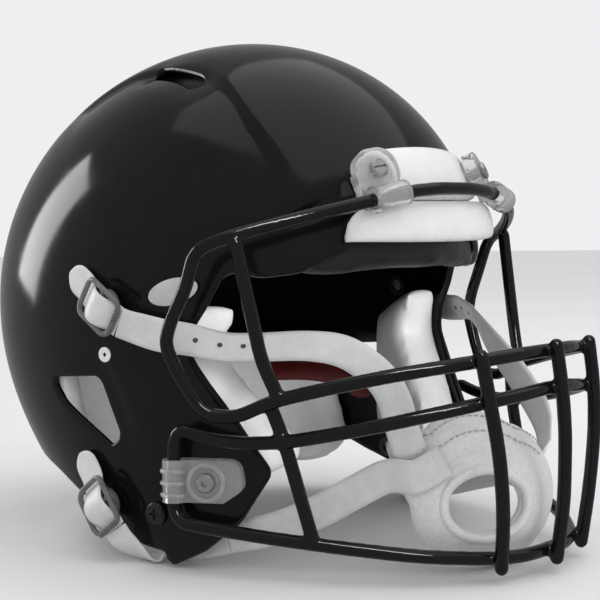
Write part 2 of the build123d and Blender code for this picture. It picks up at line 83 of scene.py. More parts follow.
camera = bpy.data.objects.new("camera", bpy.data.cameras.new("camera"))
scene.collection.objects.link(camera)
scene.camera = camera
camera.matrix_world = aim_camera(azimuth=-47.367, elevation=2.820, roll=-0.707, distance=0.76286,
                                 target=(0, 0.0205, 0.125))
camera.data.lens = 84.46
camera.data.sensor_width = 36
camera.data.shift_x = 0.0792
camera.data.shift_y = -0.0188
camera.data.clip_start = 0.01


# ---------------------------------------------------------------- materials
def shader(name):
    made = bpy.data.materials.new(name)
    made.use_nodes = True
    return made, made.node_tree, made.node_tree.nodes["Principled BSDF"]


def add_node(tree, kind, inputs=None, **settings):
    made = tree.nodes.new(kind)
    for key, value in settings.items():
        setattr(made, key, value)
    for key, value in (inputs or {}).items():
        made.inputs[key].default_value = value
    return made


def finish_of(name, dark, light, rough, grain=220, spread=0.05, bump=0.0, bump_scale=900,
              pattern="noise", bump_height=0.0002, sockets=None):
    """A material whose colour runs between two tones, with uneven roughness and a fine relief."""
    made, tree, bsdf = shader(name)
    where = add_node(tree, "ShaderNodeTexCoord")
    tone = add_node(tree, "ShaderNodeTexNoise", {"Scale": grain, "Detail": 5.0, "Roughness": 0.6})
    tree.links.new(where.outputs["Object"], tone.inputs["Vector"])
    ramp = add_node(tree, "ShaderNodeValToRGB")
    ramp.color_ramp.elements[0].position = 0.3
    ramp.color_ramp.elements[0].color = (*dark, 1)
    ramp.color_ramp.elements[1].position = 0.7
    ramp.color_ramp.elements[1].color = (*light, 1)
    tree.links.new(tone.outputs["Fac"], ramp.inputs["Fac"])
    tree.links.new(ramp.outputs["Color"], bsdf.inputs["Base Color"])
    uneven = add_node(tree, "ShaderNodeMapRange", {"From Min": 0.3, "From Max": 0.7,
                                                   "To Min": rough - spread, "To Max": rough + spread})
    smear = add_node(tree, "ShaderNodeTexNoise", {"Scale": 38.0, "Detail": 6.0, "Distortion": 0.6})
    tree.links.new(where.outputs["Object"], smear.inputs["Vector"])
    tree.links.new(smear.outputs["Fac"], uneven.inputs["Value"])
    tree.links.new(uneven.outputs["Result"], bsdf.inputs["Roughness"])
    if bump:
        if pattern == "weave":
            weave = add_node(tree, "ShaderNodeTexWave", {"Scale": bump_scale, "Distortion": 0.3},
                            bands_direction="DIAGONAL")
            cross = add_node(tree, "ShaderNodeTexWave", {"Scale": bump_scale, "Distortion": 0.3},
                             bands_direction="Z")
            both = add_node(tree, "ShaderNodeMath", operation="MULTIPLY")
            for k, source in enumerate((weave, cross)):
                tree.links.new(where.outputs["Object"], source.inputs["Vector"])
                tree.links.new(source.outputs["Fac"], both.inputs[k])
            height = both.outputs[0]
        else:
            kind = "ShaderNodeTexVoronoi" if pattern == "leather" else "ShaderNodeTexNoise"
            fine = add_node(tree, kind, {"Scale": bump_scale})
            tree.links.new(where.outputs["Object"], fine.inputs["Vector"])
            height = fine.outputs["Distance" if pattern == "leather" else "Fac"]
        bumped = add_node(tree, "ShaderNodeBump", {"Strength": bump, "Distance": bump_height})
        tree.links.new(height, bumped.inputs["Height"])
        tree.links.new(bumped.outputs["Normal"], bsdf.inputs["Normal"])
    for key, value in (sockets or {}).items():
        bsdf.inputs[key].default_value = value
    return made


gloss_shell = finish_of("gloss_shell", (0.0045, 0.0045, 0.005), (0.0062, 0.0062, 0.0068), 0.12, 60, 0.03,
                        0.03, 1400, bump_height=0.0001, sockets={"IOR": 1.36})
dipped_wire = finish_of("dipped_wire", (0.0025, 0.0025, 0.0025), (0.004, 0.004, 0.004), 0.12, 120, 0.04,
                        0.08, 260, sockets={"IOR": 1.4})
black_vinyl = finish_of("black_vinyl", (0.008, 0.008, 0.008), (0.016, 0.016, 0.016), 0.42, 160, 0.06,
                        0.35, 900, "leather")
black_plastic = finish_of("black_plastic", (0.006, 0.006, 0.006), (0.012, 0.012, 0.012), 0.3, 200, 0.05,
                          0.2, 1500)
white_vinyl = finish_of("white_vinyl", (0.66, 0.66, 0.66), (0.74, 0.74, 0.74), 0.38, 90, 0.06,
                        0.18, 1300, "leather")
strap_vinyl = finish_of("strap_vinyl", (0.60, 0.60, 0.60), (0.69, 0.69, 0.685), 0.42, 140, 0.06,
                        0.25, 1500)
strap_red = finish_of("strap_red", (0.07, 0.002, 0.002), (0.11, 0.005, 0.004), 0.5, 160, 0.06, 0.2, 1500)
bumper_white = finish_of("bumper_white", (0.78, 0.78, 0.78), (0.84, 0.84, 0.84), 0.28, 70, 0.05,
                         0.08, 700)
cup_knit = finish_of("cup_knit", (0.62, 0.62, 0.61), (0.74, 0.74, 0.735), 0.75, 500, 0.08,
                     0.3, 700, "weave", 0.0002, sockets={"Sheen Weight": 0.25})
thread = finish_of("thread", (0.46, 0.46, 0.46), (0.55, 0.55, 0.55), 0.7, 900, 0.05, 0.3, 2500)
buckle_grey = finish_of("buckle_grey", (0.11, 0.11, 0.115), (0.16, 0.16, 0.165), 0.36, 200, 0.06,
                        0.15, 1100)
steel = finish_of("steel", (0.45, 0.45, 0.46), (0.62, 0.62, 0.63), 0.24, 400, 0.06, 0.1, 1800,
                  sockets={"Metallic": 1.0})
valve_rubber = finish_of("valve_rubber", (0.72, 0.72, 0.71), (0.8, 0.8, 0.79), 0.5, 300, 0.05, 0.2, 1600)
decal_white = finish_of("decal_white", (0.50, 0.50, 0.50), (0.57, 0.57, 0.57), 0.3, 150, 0.05, 0.05, 900)
clear_plastic = finish_of("clear_plastic", (0.90, 0.91, 0.92), (0.95, 0.955, 0.96), 0.1, 90, 0.05,
                          0.6, 150, bump_height=0.0012, sockets={"Transmission Weight": 0.8, "IOR": 1.46})
eyelet_dark = finish_of("eyelet_dark", (0.05, 0.05, 0.05), (0.08, 0.08, 0.08), 0.6, 300, 0.05, 0.1, 900)


# ---------------------------------------------------------------- pieces
def make_piece(name, points, faces, body, material, standing_for=(), slot=None):
    """A mesh piece from points in millimetres, riding on a body."""
    mesh = bpy.data.meshes.new(name)
    mesh.from_pydata([tuple(c * MM for c in p) for p in points], [], faces)
    mesh.validate()
    mesh.update()
    mesh.shade_smooth()
    piece = bpy.data.objects.new(name, mesh)
    scene.collection.objects.link(piece)
    piece.data.materials.append(material)
    if body:
        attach(piece, body)
    if standing_for:
        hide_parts(*standing_for)
    return piece


def circle(count):
    """Evenly spaced angles once around."""
    return np.linspace(0, 2 * pi, count + 1)[:-1]


def quads_between(rings, around, closed=False, flip=False):
    """Faces between rings of points that follow one another."""
    faces = []
    for i in range(rings if closed else rings - 1):
        j = (i + 1) % rings
        for k in range(around):
            m = (k + 1) % around
            a, b, c, d = i * around + k, i * around + m, j * around + m, j * around + k
            faces.append((a, d, c, b) if flip else (a, b, c, d))
    return faces


def end_caps(rings, around):
    """One face over the first ring and one over the last."""
    return [tuple(range(around))[::-1], tuple(range((rings - 1) * around, rings * around))]


def tube(path, radius, around=12, closed=False):
    """Points and faces of a round bar along a path, with flat ends where it is open."""
    path = [Vector(p) for p in path]
    count = len(path)
    points = []
    side = None
    for i, here in enumerate(path):
        if closed:
            ahead = path[(i + 1) % count] - path[i - 1]
        else:
            ahead = path[min(i + 1, count - 1)] - path[max(i - 1, 0)]
        ahead.normalize()
        if side is None:
            side = ahead.orthogonal()
        side = (side - ahead * side.dot(ahead)).normalized()
        other = ahead.cross(side)
        for k in range(around):
            angle = 2 * pi * k / around
            points.append(here + side * (cos(angle) * radius) + other * (sin(angle) * radius))
    faces = quads_between(count, around, closed)
    return points, faces if closed else faces + end_caps(count, around)


def gather(parts):
    """Several (points, faces) as one."""
    points, faces = [], []
    for some_points, some_faces in parts:
        start = len(points)
        points += list(some_points)
        faces += [tuple(start + v for v in face) for face in some_faces]
    return points, faces


def smooth_path(points, count):
    """Evenly numbered points of a smooth curve through the given ones."""
    points = np.array(points, float)
    padded = np.vstack([2 * points[0] - points[1], points, 2 * points[-1] - points[-2]])
    made = []
    for s in np.linspace(0, len(points) - 1, count):
        i = min(int(s), len(points) - 2)
        t = s - i
        p0, p1, p2, p3 = padded[i:i + 4]
        made.append(0.5 * (2 * p1 + (p2 - p0) * t + (2 * p0 - 5 * p1 + 4 * p2 - p3) * t * t
                           + (3 * p1 - p0 - 3 * p2 + p3) * t ** 3))
    return np.array(made)


def bake(piece):
    """Puts the mesh that the modifiers make in place of the piece's own."""
    made = bpy.data.meshes.new_from_object(piece.evaluated_get(bpy.context.evaluated_depsgraph_get()))
    piece.modifiers.clear()
    piece.data = made


def one_material(piece, material):
    piece.data.materials.clear()
    piece.data.materials.append(material)


def bevelled(name, width, material):
    """A carried-over node with softened edges and its own finish."""
    node = nodes[name]
    one_material(node, material)
    weld = node.modifiers.new("weld", "WELD")
    weld.merge_threshold = SAME_POINT
    soft = node.modifiers.new("edges", "BEVEL")
    soft.width = width * MM
    soft.segments = 3
    soft.limit_method = "ANGLE"
    soft.angle_limit = radians(38)
    soft.harden_normals = True


# ---------------------------------------------------------------- shell surface, in millimetres
HALF_WIDTH, HALF_LENGTH, MIDDLE_Y = 118.0, 140.5, 33.5
WAIST, CROWN, LEAN = 125.0, 131.0, -10.0
JAW_TAPER, NAPE_TAPER, NAPE_POWER = 0.086, 88.0, 2.1
WALL = 4.0


def section(z):
    """Half breadth, half length and centre of the shell below its widest level."""
    drop = np.clip((WAIST - z) / WAIST, 0, None)
    lean = -LEAN / CROWN * (WAIST - z) * (1 - drop)
    front = MIDDLE_Y - HALF_LENGTH + lean
    back = MIDDLE_Y + HALF_LENGTH + lean - NAPE_TAPER * drop ** NAPE_POWER
    return HALF_WIDTH * (1 - JAW_TAPER * drop * drop), (back - front) / 2, (back + front) / 2


def level(p):
    """1 on the shell's outer surface, less inside."""
    x, y, z = p[..., 0], p[..., 1], p[..., 2]
    rise = (z - WAIST) / CROWN
    above = (x / HALF_WIDTH) ** 2 + ((y - MIDDLE_Y - LEAN * rise) / HALF_LENGTH) ** 2 + rise ** 2
    a, b, yc = section(np.minimum(z, WAIST))
    below = (x / a) ** 2 + ((y - yc) / b) ** 2
    return np.where(z >= WAIST, above, below)


def normals_at(p):
    """Outward directions of the surface near points."""
    steps = np.eye(3) * 0.5
    slope = np.stack([level(p + s) - level(p - s) for s in steps], -1)
    return slope / np.linalg.norm(slope, axis=-1, keepdims=True)


def on_side(side, y, z):
    """Point of the shell's side seen at (y, z)."""
    if z >= WAIST:
        rise = (z - WAIST) / CROWN
        inside = 1 - rise * rise - ((y - MIDDLE_Y - LEAN * rise) / HALF_LENGTH) ** 2
        return np.array((side * HALF_WIDTH * sqrt(max(inside, 0)), y, z))
    a, b, yc = section(np.array(float(z)))
    return np.array((side * a * sqrt(max(1 - ((y - yc) / b) ** 2, 0)), y, z))


def on_front(x, z):
    """Point of the shell's front seen at (x, z)."""
    rise = max(z - WAIST, 0) / CROWN
    reach = sqrt(max(1 - rise * rise - (x / HALF_WIDTH) ** 2, 0))
    return np.array((x, MIDDLE_Y + LEAN * rise - HALF_LENGTH * reach, z))


def lifted(p, height):
    """The point moved out from the surface."""
    return p + normals_at(p) * height


def rounded(points, radii, steps=7):
    """A closed outline with an arc at each corner."""
    outline = []
    count = len(points)
    for i, radius in enumerate(radii):
        here = Vector(points[i])
        run_in = Vector(points[i - 1]) - here
        run_out = Vector(points[(i + 1) % count]) - here
        if not radius:
            outline.append(tuple(here))
            continue
        half = run_in.angle(run_out) / 2
        away = radius / np.tan(half)
        middle = here + (run_in.normalized() + run_out.normalized()).normalized() * (radius / sin(half))
        first = here + run_in.normalized() * away - middle
        last = here + run_out.normalized() * away - middle
        turn = first.angle_signed(last)
        for k in range(steps + 1):
            angle = -turn * k / steps
            outline.append((middle.x + first.x * cos(angle) - first.y * sin(angle),
                            middle.y + first.x * sin(angle) + first.y * cos(angle)))
    return np.array(outline)


def inside_by(p, outline):
    """Distance to an outline, positive inside it."""
    nearest = np.full(len(p), 1e9)
    crossings = np.zeros(len(p), int)
    for a, b in zip(outline, np.roll(outline, -1, 0)):
        run = b - a
        along = np.clip(((p - a) @ run) / max(run @ run, 1e-12), 0, 1)
        nearest = np.minimum(nearest, np.hypot(*(p - a - along[:, None] * run).T))
        straddles = (a[1] > p[:, 1]) != (b[1] > p[:, 1])
        rise = run[1] if run[1] else 1e-12
        crossings += straddles & (p[:, 0] < a[0] + run[0] * (p[:, 1] - a[1]) / rise)
    return np.where(crossings % 2 == 1, nearest, -nearest)


def step_up(v):
    """Rises smoothly from 0 to 1 as v does."""
    t = np.clip(v, 0, 1)
    return t * t * (3 - 2 * t)


edge = rounded(
    [(-160, 160), (-103, 160), (-88, 145.5), (-77, 137.5), (-63, 135.5), (-50, 139.5), (-43, 124),
     (-35.5, 112), (-33.5, 100), (-41, 88), (-54, 69), (-67.5, 46), (-56, 22.5), (-41.5, 9), (-24, 0),
     (-20.3, 0), (-20.3, 6.5), (-5, 8), (8, 16.5), (28, 23), (60, 36), (100, 42), (160, 38), (260, 38),
     (260, -60), (-160, -60)],
    [0, 20, 20, 12, 12, 7, 20, 14, 14, 30, 40, 7, 20, 20, 0, 0, 2, 8, 20, 60, 60, 60, 0, 0, 0, 0])
ear = rounded([(51, 85.5), (16, 88), (4, 60), (8.5, 55), (27, 65.5), (42, 74.5)], [3, 6, 4, 3, 30, 16])
vent = rounded([(50, 40), (57, 38), (66.5, 1), (62, -5), (58, 0)], [2.5, 2.5, 3, 2.5, 12])
channel = smooth_path([(83.6, -58.5, 164.5), (77.7, -62.5, 171), (71.4, -63.5, 183), (70, -56, 194.7),
                       (68.6, -42.5, 209.5), (63, -24.5, 225), (57, -3, 236), (53, 22, 242),
                       (54, 48, 240), (60, 80, 228)], 60)
TOP_FROM = 200.0                          # the crown vents are cut above this height
FAR_OUTSIDE = -50.0
CHANNEL_DEEP, CHANNEL_RAMP, CHANNEL_FADE, CHANNEL_END = 2.4, 7.0, 30.0, 12.0
VENT_DEEP, VENT_FADE = 1.6, 8.0
CHEEK_DEEP, CHEEK_MARGIN, CHEEK_RAMP = 1.7, 22.0, 6.0
EAR_DEEP, EAR_REACH, EAR_RAMP = 1.2, 14.0, 8.0


def cut_depth(p):
    """Positive where the shell is cut away: the face opening, the ear holes and the vents."""
    folded = np.abs(p[:, 0])
    over_top = inside_by(np.stack([folded, p[:, 1]], -1), vent)
    over_top = np.where(p[:, 2] > TOP_FROM, over_top, FAR_OUTSIDE)
    return np.maximum(np.maximum(inside_by(p[:, 1:], edge), inside_by(p[:, 1:], ear)), over_top)


def relief(p, n):
    """Height of the shell's moulded steps above its plain form."""
    folded = p * 1.0
    folded[:, 0] = np.abs(p[:, 0])
    lean = n * 1.0
    lean[:, 0] = np.where(p[:, 0] < 0, -n[:, 0], n[:, 0])
    apart = np.linalg.norm(folded[:, None] - channel[None], axis=-1)
    nearest = apart.argmin(1)
    tangent = np.gradient(channel, axis=0)
    tangent /= np.linalg.norm(tangent, axis=1, keepdims=True)
    gap = folded - channel[nearest]
    beside = np.einsum("ij,ij->i", gap, np.cross(tangent[nearest], lean))
    past_end = np.einsum("ij,ij->i", gap, tangent[nearest])
    at_end = (nearest == 0) | (nearest == len(channel) - 1)
    ends = np.where(at_end, np.exp(-(past_end / CHANNEL_END) ** 2), 1)
    fade = np.exp(-(np.maximum(beside, 0) / CHANNEL_FADE) ** 2)
    height = -CHANNEL_DEEP * step_up(beside / CHANNEL_RAMP + 0.5) * fade * ends
    top = np.where(p[:, 2] > TOP_FROM, inside_by(folded[:, :2], vent), FAR_OUTSIDE)
    height -= VENT_DEEP * np.exp(-(np.minimum(top, 0) / VENT_FADE) ** 2)
    margin = -inside_by(p[:, 1:], edge)
    cheek = step_up((16 - p[:, 1]) / 24) * step_up((p[:, 2] - 50) / 24)
    height -= CHEEK_DEEP * (1 - step_up((margin - CHEEK_MARGIN) / CHEEK_RAMP)) * cheek
    round_ear = -inside_by(p[:, 1:], ear)
    ahead = step_up((40 - p[:, 1]) / 30) * step_up((p[:, 2] - 50) / 16)
    height -= EAR_DEEP * step_up((EAR_REACH - round_ear) / EAR_RAMP) * ahead
    return height


def cube_ball(count):
    """Even grid of directions: points of a ball and its quads."""
    ramp = np.tan(np.linspace(-pi / 4, pi / 4, count + 1))
    u, v = np.meshgrid(ramp, ramp, indexing="ij")
    one = np.ones_like(u)
    flats = [(one, u, v), (-one, v, u), (v, one, u), (u, -one, v), (u, v, one)]
    points, faces = [], []
    for flat in flats:
        start = len(points) * (count + 1) ** 2
        points.append(np.stack(flat, -1).reshape(-1, 3))
        i, j = np.meshgrid(np.arange(count), np.arange(count), indexing="ij")
        a = (start + i * (count + 1) + j).ravel()
        faces.append(np.stack([a, a + count + 1, a + count + 2, a + 1], -1))
    points = np.concatenate(points)
    return points / np.linalg.norm(points, axis=1, keepdims=True), np.concatenate(faces)


GRID = 120                # squares along each side of the cube that the shell's grid starts from
BOWL_DROP = 185.0         # the uncut grid reaches this far below the widest level
SLIVER = 0.35             # points closer than this are joined
LIP_FOLDS = 6             # strips across the rolled edge


def build_shell():
    """The shell: an outer and an inner skin, cut open and joined by a rolled edge."""
    ball, quads = cube_ball(GRID)
    z = np.where(ball[:, 2] >= 0, WAIST + CROWN * ball[:, 2], WAIST + BOWL_DROP * ball[:, 2])
    a, b, yc = section(np.minimum(z, WAIST))
    flat = np.where(ball[:, 2] >= 0, 1, np.hypot(ball[:, 0], ball[:, 1]))
    y = yc + b * ball[:, 1] / flat + np.where(z > WAIST, LEAN * ball[:, 2], 0)
    points = np.stack([a * ball[:, 0] / flat, y, z], -1)
    triangles = np.concatenate([quads[:, [0, 1, 2]], quads[:, [0, 2, 3]]])
    lip = WALL / 2
    cut = cut_depth(points) + lip
    kept, faces, made = list(points), [], {}

    def crossing(i, j):
        key = (min(i, j), max(i, j))
        if key not in made:
            t = cut[key[0]] / (cut[key[0]] - cut[key[1]])
            kept.append(points[key[0]] * (1 - t) + points[key[1]] * t)
            made[key] = len(kept) - 1
        return made[key]

    inside = (cut < 0)[triangles].sum(1)
    faces += [tuple(t) for t in triangles[inside == 3]]
    for triangle in triangles[(inside > 0) & (inside < 3)]:
        ring = []
        for i, j in zip(triangle, np.roll(triangle, -1)):
            if cut[i] < 0:
                ring.append(int(i))
            if (cut[i] < 0) != (cut[j] < 0):
                ring.append(crossing(int(i), int(j)))
        faces.append(tuple(ring))
    sheet = bmesh.new()
    for p in kept:
        sheet.verts.new(p)
    sheet.verts.ensure_lookup_table()
    for face in faces:
        try:
            sheet.faces.new([sheet.verts[i] for i in face])
        except ValueError:
            pass          # the same face twice
    bmesh.ops.delete(sheet, geom=[v for v in sheet.verts if not v.link_faces], context="VERTS")
    bmesh.ops.remove_doubles(sheet, verts=sheet.verts, dist=SLIVER)
    bmesh.ops.recalc_face_normals(sheet, faces=sheet.faces)
    sheet.verts.ensure_lookup_table()
    sheet.verts.index_update()
    where = np.array([v.co for v in sheet.verts])
    out = normals_at(where)
    sample = sheet.faces[:][0]
    if sample.normal.dot(Vector(out[sample.verts[0].index])) < 0:
        bmesh.ops.reverse_faces(sheet, faces=sheet.faces)
    height = relief(where, out)
    steps = np.eye(3) * 0.4
    slope = np.stack([cut_depth(where + s) - cut_depth(where - s) for s in steps], -1)
    slope -= out * np.einsum("ij,ij->i", slope, out)[:, None]
    slope /= np.maximum(np.linalg.norm(slope, axis=1, keepdims=True), 1e-9)
    outer = where + out * height[:, None]
    inner = outer - out * WALL
    total = len(where)
    all_points = [*outer, *inner]
    skin = [tuple(v.index for v in f.verts) for f in sheet.faces]
    all_faces = skin + [tuple(total + i for i in reversed(face)) for face in skin]
    rings = {}
    for e in sheet.edges:
        if len(e.link_faces) != 1:
            continue
        loop = e.link_loops[0]
        first, second = loop.vert.index, loop.link_loop_next.vert.index
        for i in (first, second):
            if i not in rings:
                ring = [i]
                for k in range(1, LIP_FOLDS):
                    angle = pi * k / LIP_FOLDS
                    inward = out[i] * (lip * (1 - cos(angle)))
                    all_points.append(outer[i] + slope[i] * (lip * sin(angle)) - inward)
                    ring.append(len(all_points) - 1)
                rings[i] = ring + [total + i]
        near, far = rings[first], rings[second]
        for k in range(LIP_FOLDS):
            all_faces.append((far[k], near[k], near[k + 1], far[k + 1]))
    sheet.free()
    make_piece("shell_moulded", all_points, all_faces, "helmet", gloss_shell, ("shell",), "shell_gloss")


build_shell()


# ---------------------------------------------------------------- soft pads
CLOTH_FRAMES = 20
PRESSURE = 4.0
LINER_GAP = 0.5           # air left between a pad and the shell


def soft_pad(node, voxel, shrink, material):
    """A cushion that starts a little inside its CAD solid."""
    piece = bpy.data.objects.new(f"{node}_soft", nodes[node].data.copy())
    scene.collection.objects.link(piece)
    form = bmesh.new()
    form.from_mesh(piece.data)
    bmesh.ops.remove_doubles(form, verts=form.verts, dist=SAME_POINT)
    form.normal_update()
    for v in form.verts:
        v.co -= v.normal * (shrink * MM)
    form.to_mesh(piece.data)
    form.free()
    remesh = piece.modifiers.new("remesh", "REMESH")
    remesh.mode = "VOXEL"
    remesh.voxel_size = voxel * MM
    bake(piece)
    one_material(piece, material)
    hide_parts(node)
    return piece


def coordinates(mesh):
    """A mesh's points as rows."""
    flat = np.empty(len(mesh.vertices) * 3)
    mesh.vertices.foreach_get("co", flat)
    return flat.reshape(-1, 3)


def keep_in_shell(points):
    """Moves points in millimetres that come too near the shell's wall back inside it."""
    for _ in range(3):
        value = level(points)
        out = normals_at(points)
        step = level(points + out * 0.5) - value
        above = (value - 1) / np.maximum(step, 1e-6) * 0.5
        points -= out * np.maximum(above + WALL + LINER_GAP, 0)[:, None]
    return points


# Node, grain of the start form, how far it starts inside, how far the cloth may swell it, fill, smoothing.
PADS = [("crown_pad", 5, 1.5, 3.0, 0.6, 5), ("front_pad", 3.5, 1.0, 2.0, 0.7, 8),
             ("back_pad", 5, 1.5, 3.0, 0.6, 5), ("neck_pad", 4.5, 1.2, 2.0, 0.7, 5),
             ("side_pad_right", 5, 1.5, 3.0, 0.6, 5), ("side_pad_left", 5, 1.5, 3.0, 0.6, 5),
             ("jaw_pad_right", 4, 1.2, 2.0, 0.8, 14), ("jaw_pad_left", 4, 1.2, 2.0, 0.8, 14)]
WHITE_PADS = ("neck_pad", "jaw_pad_right", "jaw_pad_left")
pads = []
for node, voxel, shrink, cap, fill, smoothing in PADS:
    white = node in WHITE_PADS
    piece = soft_pad(node, voxel, shrink, white_vinyl if white else black_vinyl)
    pads.append((piece, cap, fill, smoothing))
for piece, cap, fill, smoothing in pads:
    cloth = piece.modifiers.new("cloth", "CLOTH")
    cloth.settings.use_pressure = True
    cloth.settings.uniform_pressure_force = PRESSURE
    cloth.settings.effector_weights.gravity = 0
    cloth.settings.quality = 4
    cloth.collision_settings.use_collision = False
for number in range(1, CLOTH_FRAMES + 1):
    scene.frame_set(number)
for piece, cap, fill, smoothing in pads:
    start = coordinates(piece.data)
    view = piece.evaluated_get(bpy.context.evaluated_depsgraph_get())
    swollen = coordinates(view.data)
    piece.modifiers.clear()
    moved = swollen - start
    far = np.linalg.norm(moved, axis=1, keepdims=True)
    moved *= np.minimum(1, cap * MM / np.maximum(far, 1e-9))
    placed = keep_in_shell((start + moved) / MM)
    piece.data.vertices.foreach_set("co", (placed * MM).ravel())
    relax = piece.modifiers.new("relax", "CORRECTIVE_SMOOTH")
    relax.iterations = smoothing
    relax.use_only_smooth = True
    finer = piece.modifiers.new("finer", "SUBSURF")
    finer.levels = finer.render_levels = 1
    bake(piece)
    piece.data.shade_smooth()
    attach(piece, "helmet")
scene.frame_set(1)


# ---------------------------------------------------------------- facemask
mask_nodes = [name for name in nodes if name.startswith("facemask_")]
mask_form = bmesh.new()
for name in sorted(mask_nodes):
    mask_form.from_mesh(nodes[name].data)
bmesh.ops.remove_doubles(mask_form, verts=mask_form.verts, dist=0.00001)
mask_mesh = bpy.data.meshes.new("facemask_dipped")
mask_form.to_mesh(mask_mesh)
mask_form.free()
mask = bpy.data.objects.new("facemask_dipped", mask_mesh)
scene.collection.objects.link(mask)
fuse = mask.modifiers.new("fuse", "REMESH")
fuse.mode = "VOXEL"
fuse.voxel_size = 0.85 * MM
flow = mask.modifiers.new("flow", "SMOOTH")
flow.factor = 0.5
flow.iterations = 9
thicken = mask.modifiers.new("coat", "DISPLACE")
thicken.strength = 0.25 * MM
thicken.mid_level = 0
bake(mask)
mask.data.shade_smooth()
one_material(mask, dipped_wire)
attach(mask, "helmet")
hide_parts(*mask_nodes)


# ---------------------------------------------------------------- bumper
def brow_band(name, half, low_at, high_at, thick_at, power, standing_for, slot):
    """A band along the brow; its edges and its thickness change with the distance from the middle."""
    points = []
    across, around = 60, 20
    for i in range(across + 1):
        x = half * (2 * i / across - 1)
        end = max(1 - (abs(x) / (half + 0.2)) ** 7, 0.0) ** 0.5
        low, high, thick = low_at(x, end), high_at(x, end), thick_at(end)
        for k in range(around):
            angle = 2 * pi * k / around
            c, s = cos(angle), sin(angle)
            z = (low + high) / 2 + (high - low) / 2 * np.sign(s) * abs(s) ** power
            height = 0.5 + thick / 2 + thick / 2 * np.sign(c) * abs(c) ** power
            points.append(lifted(on_front(x, z), height))
    faces = quads_between(across + 1, around) + end_caps(across + 1, around)
    return make_piece(name, points, faces, "helmet", bumper_white, (standing_for,), slot)


ROLL_HALF, PLATE_HALF = 56.0, 47.0
rolled = brow_band("bumper_roll", ROLL_HALF,
                   lambda x, end: 150.2 + (x / ROLL_HALF) ** 2,
                   lambda x, end: 151.2 + 17.4 * end,
                   lambda end: 8.4 * (0.25 + 0.75 * end), 0.75, "front_bumper_roll", "bumper_vinyl")
brow_band("bumper_plate", PLATE_HALF,
          lambda x, end: 181 - 11.2 * end,
          lambda x, end: 181 + 14 * end - 4.5 * (x / PLATE_HALF) ** 2,
          lambda end: 3.4 * (0.6 + 0.4 * end), 0.4, "front_bumper_plate", "bumper_white")


# ---------------------------------------------------------------- clips, screws and valves
PIN_OUT, PIN_OVER = 0.875233, 0.483702    # the release pins' direction in plan
RIB_X, RIB_Y, RIB_HEIGHTS, RIB_REACH, RIB_R = 112.5, -32.5, (36.5, 42.0, 47.5), 5.5, 1.1
PIN_RING_R, PIN_RING_WIRE, PIN_RING_SUNK = 8.2, 1.3, 2.5
for label, side in SIDES.items():
    bevelled(f"top_clip_{label}", 1.1, clear_plastic)
    bevelled(f"side_clip_{label}", 1.4, clear_plastic)
    bevelled(f"release_pin_{label}", 0.3, steel)
    bevelled(f"inflation_valve_{label}", 0.3, valve_rubber)
    ribs = []
    for z in RIB_HEIGHTS:
        ring = [(side * RIB_X + RIB_REACH * cos(t), RIB_Y + RIB_REACH * sin(t), z) for t in circle(32)]
        ribs.append(tube(ring, RIB_R, 10, closed=True))
    make_piece(f"side_clip_ribs_{label}", *gather(ribs), "helmet", clear_plastic, slot="clip_clear")
    pin = coordinates(nodes[f"release_pin_{label}"].data) / MM
    out, over = np.array((side * PIN_OUT, -PIN_OVER, 0)), np.array((PIN_OVER, side * PIN_OUT, 0))
    up = np.array((0, 0, 1))
    ends = [(pin @ way).max() + (pin @ way).min() for way in (over, up)]
    face = out * ((pin @ out).max() - PIN_RING_SUNK) + over * (ends[0] / 2) + up * (ends[1] / 2)
    ring = [face + over * (PIN_RING_R * cos(t)) + up * (PIN_RING_R * sin(t)) for t in circle(48)]
    make_piece(f"side_clip_ring_{label}", *tube(ring, PIN_RING_WIRE, 10, closed=True), "helmet",
               clear_plastic, slot="clip_clear")
for name in ("top_clip_screws", "snap_studs"):
    bevelled(name, 0.25, steel)
for name in ("top_clip_nuts", "snap_nuts", "jaw_nuts"):
    bevelled(name, 0.25, black_plastic)
bevelled("jaw_screws", 0.4, black_plastic)
bevelled("side_clip_sockets", 0.5, black_plastic)


BADGE_AT, BADGE_SIZE, BADGE_TURN = (-27.0, 129.5), (12.0, 6.0), (0.96, 0.28)


def side_decal(label, side):
    """Plain oval badge on the temple."""
    rows, around = 5, 40
    points = []
    for i in range(rows + 1):
        r = i / rows
        for k in range(around):
            angle = 2 * pi * k / around
            u, v = BADGE_SIZE[0] * r * cos(angle), BADGE_SIZE[1] * r * sin(angle)
            y = BADGE_AT[0] + u * BADGE_TURN[0] + v * BADGE_TURN[1]
            z = BADGE_AT[1] - u * BADGE_TURN[1] + v * BADGE_TURN[0]
            points.append(lifted(on_side(side, y, z), 0.35 + 0.25 * (1 - r ** 6)))
    faces = [quad if side > 0 else quad[::-1] for quad in quads_between(rows + 1, around, flip=True)]
    make_piece(f"temple_badge_{label}", points, faces, "helmet", decal_white, slot="bumper_white")


for label, side in SIDES.items():
    side_decal(label, side)


# ---------------------------------------------------------------- straps
RIBBON_ROWS = 90
STRAP_WIDE, STRAP_THICK = 15.4, 1.7


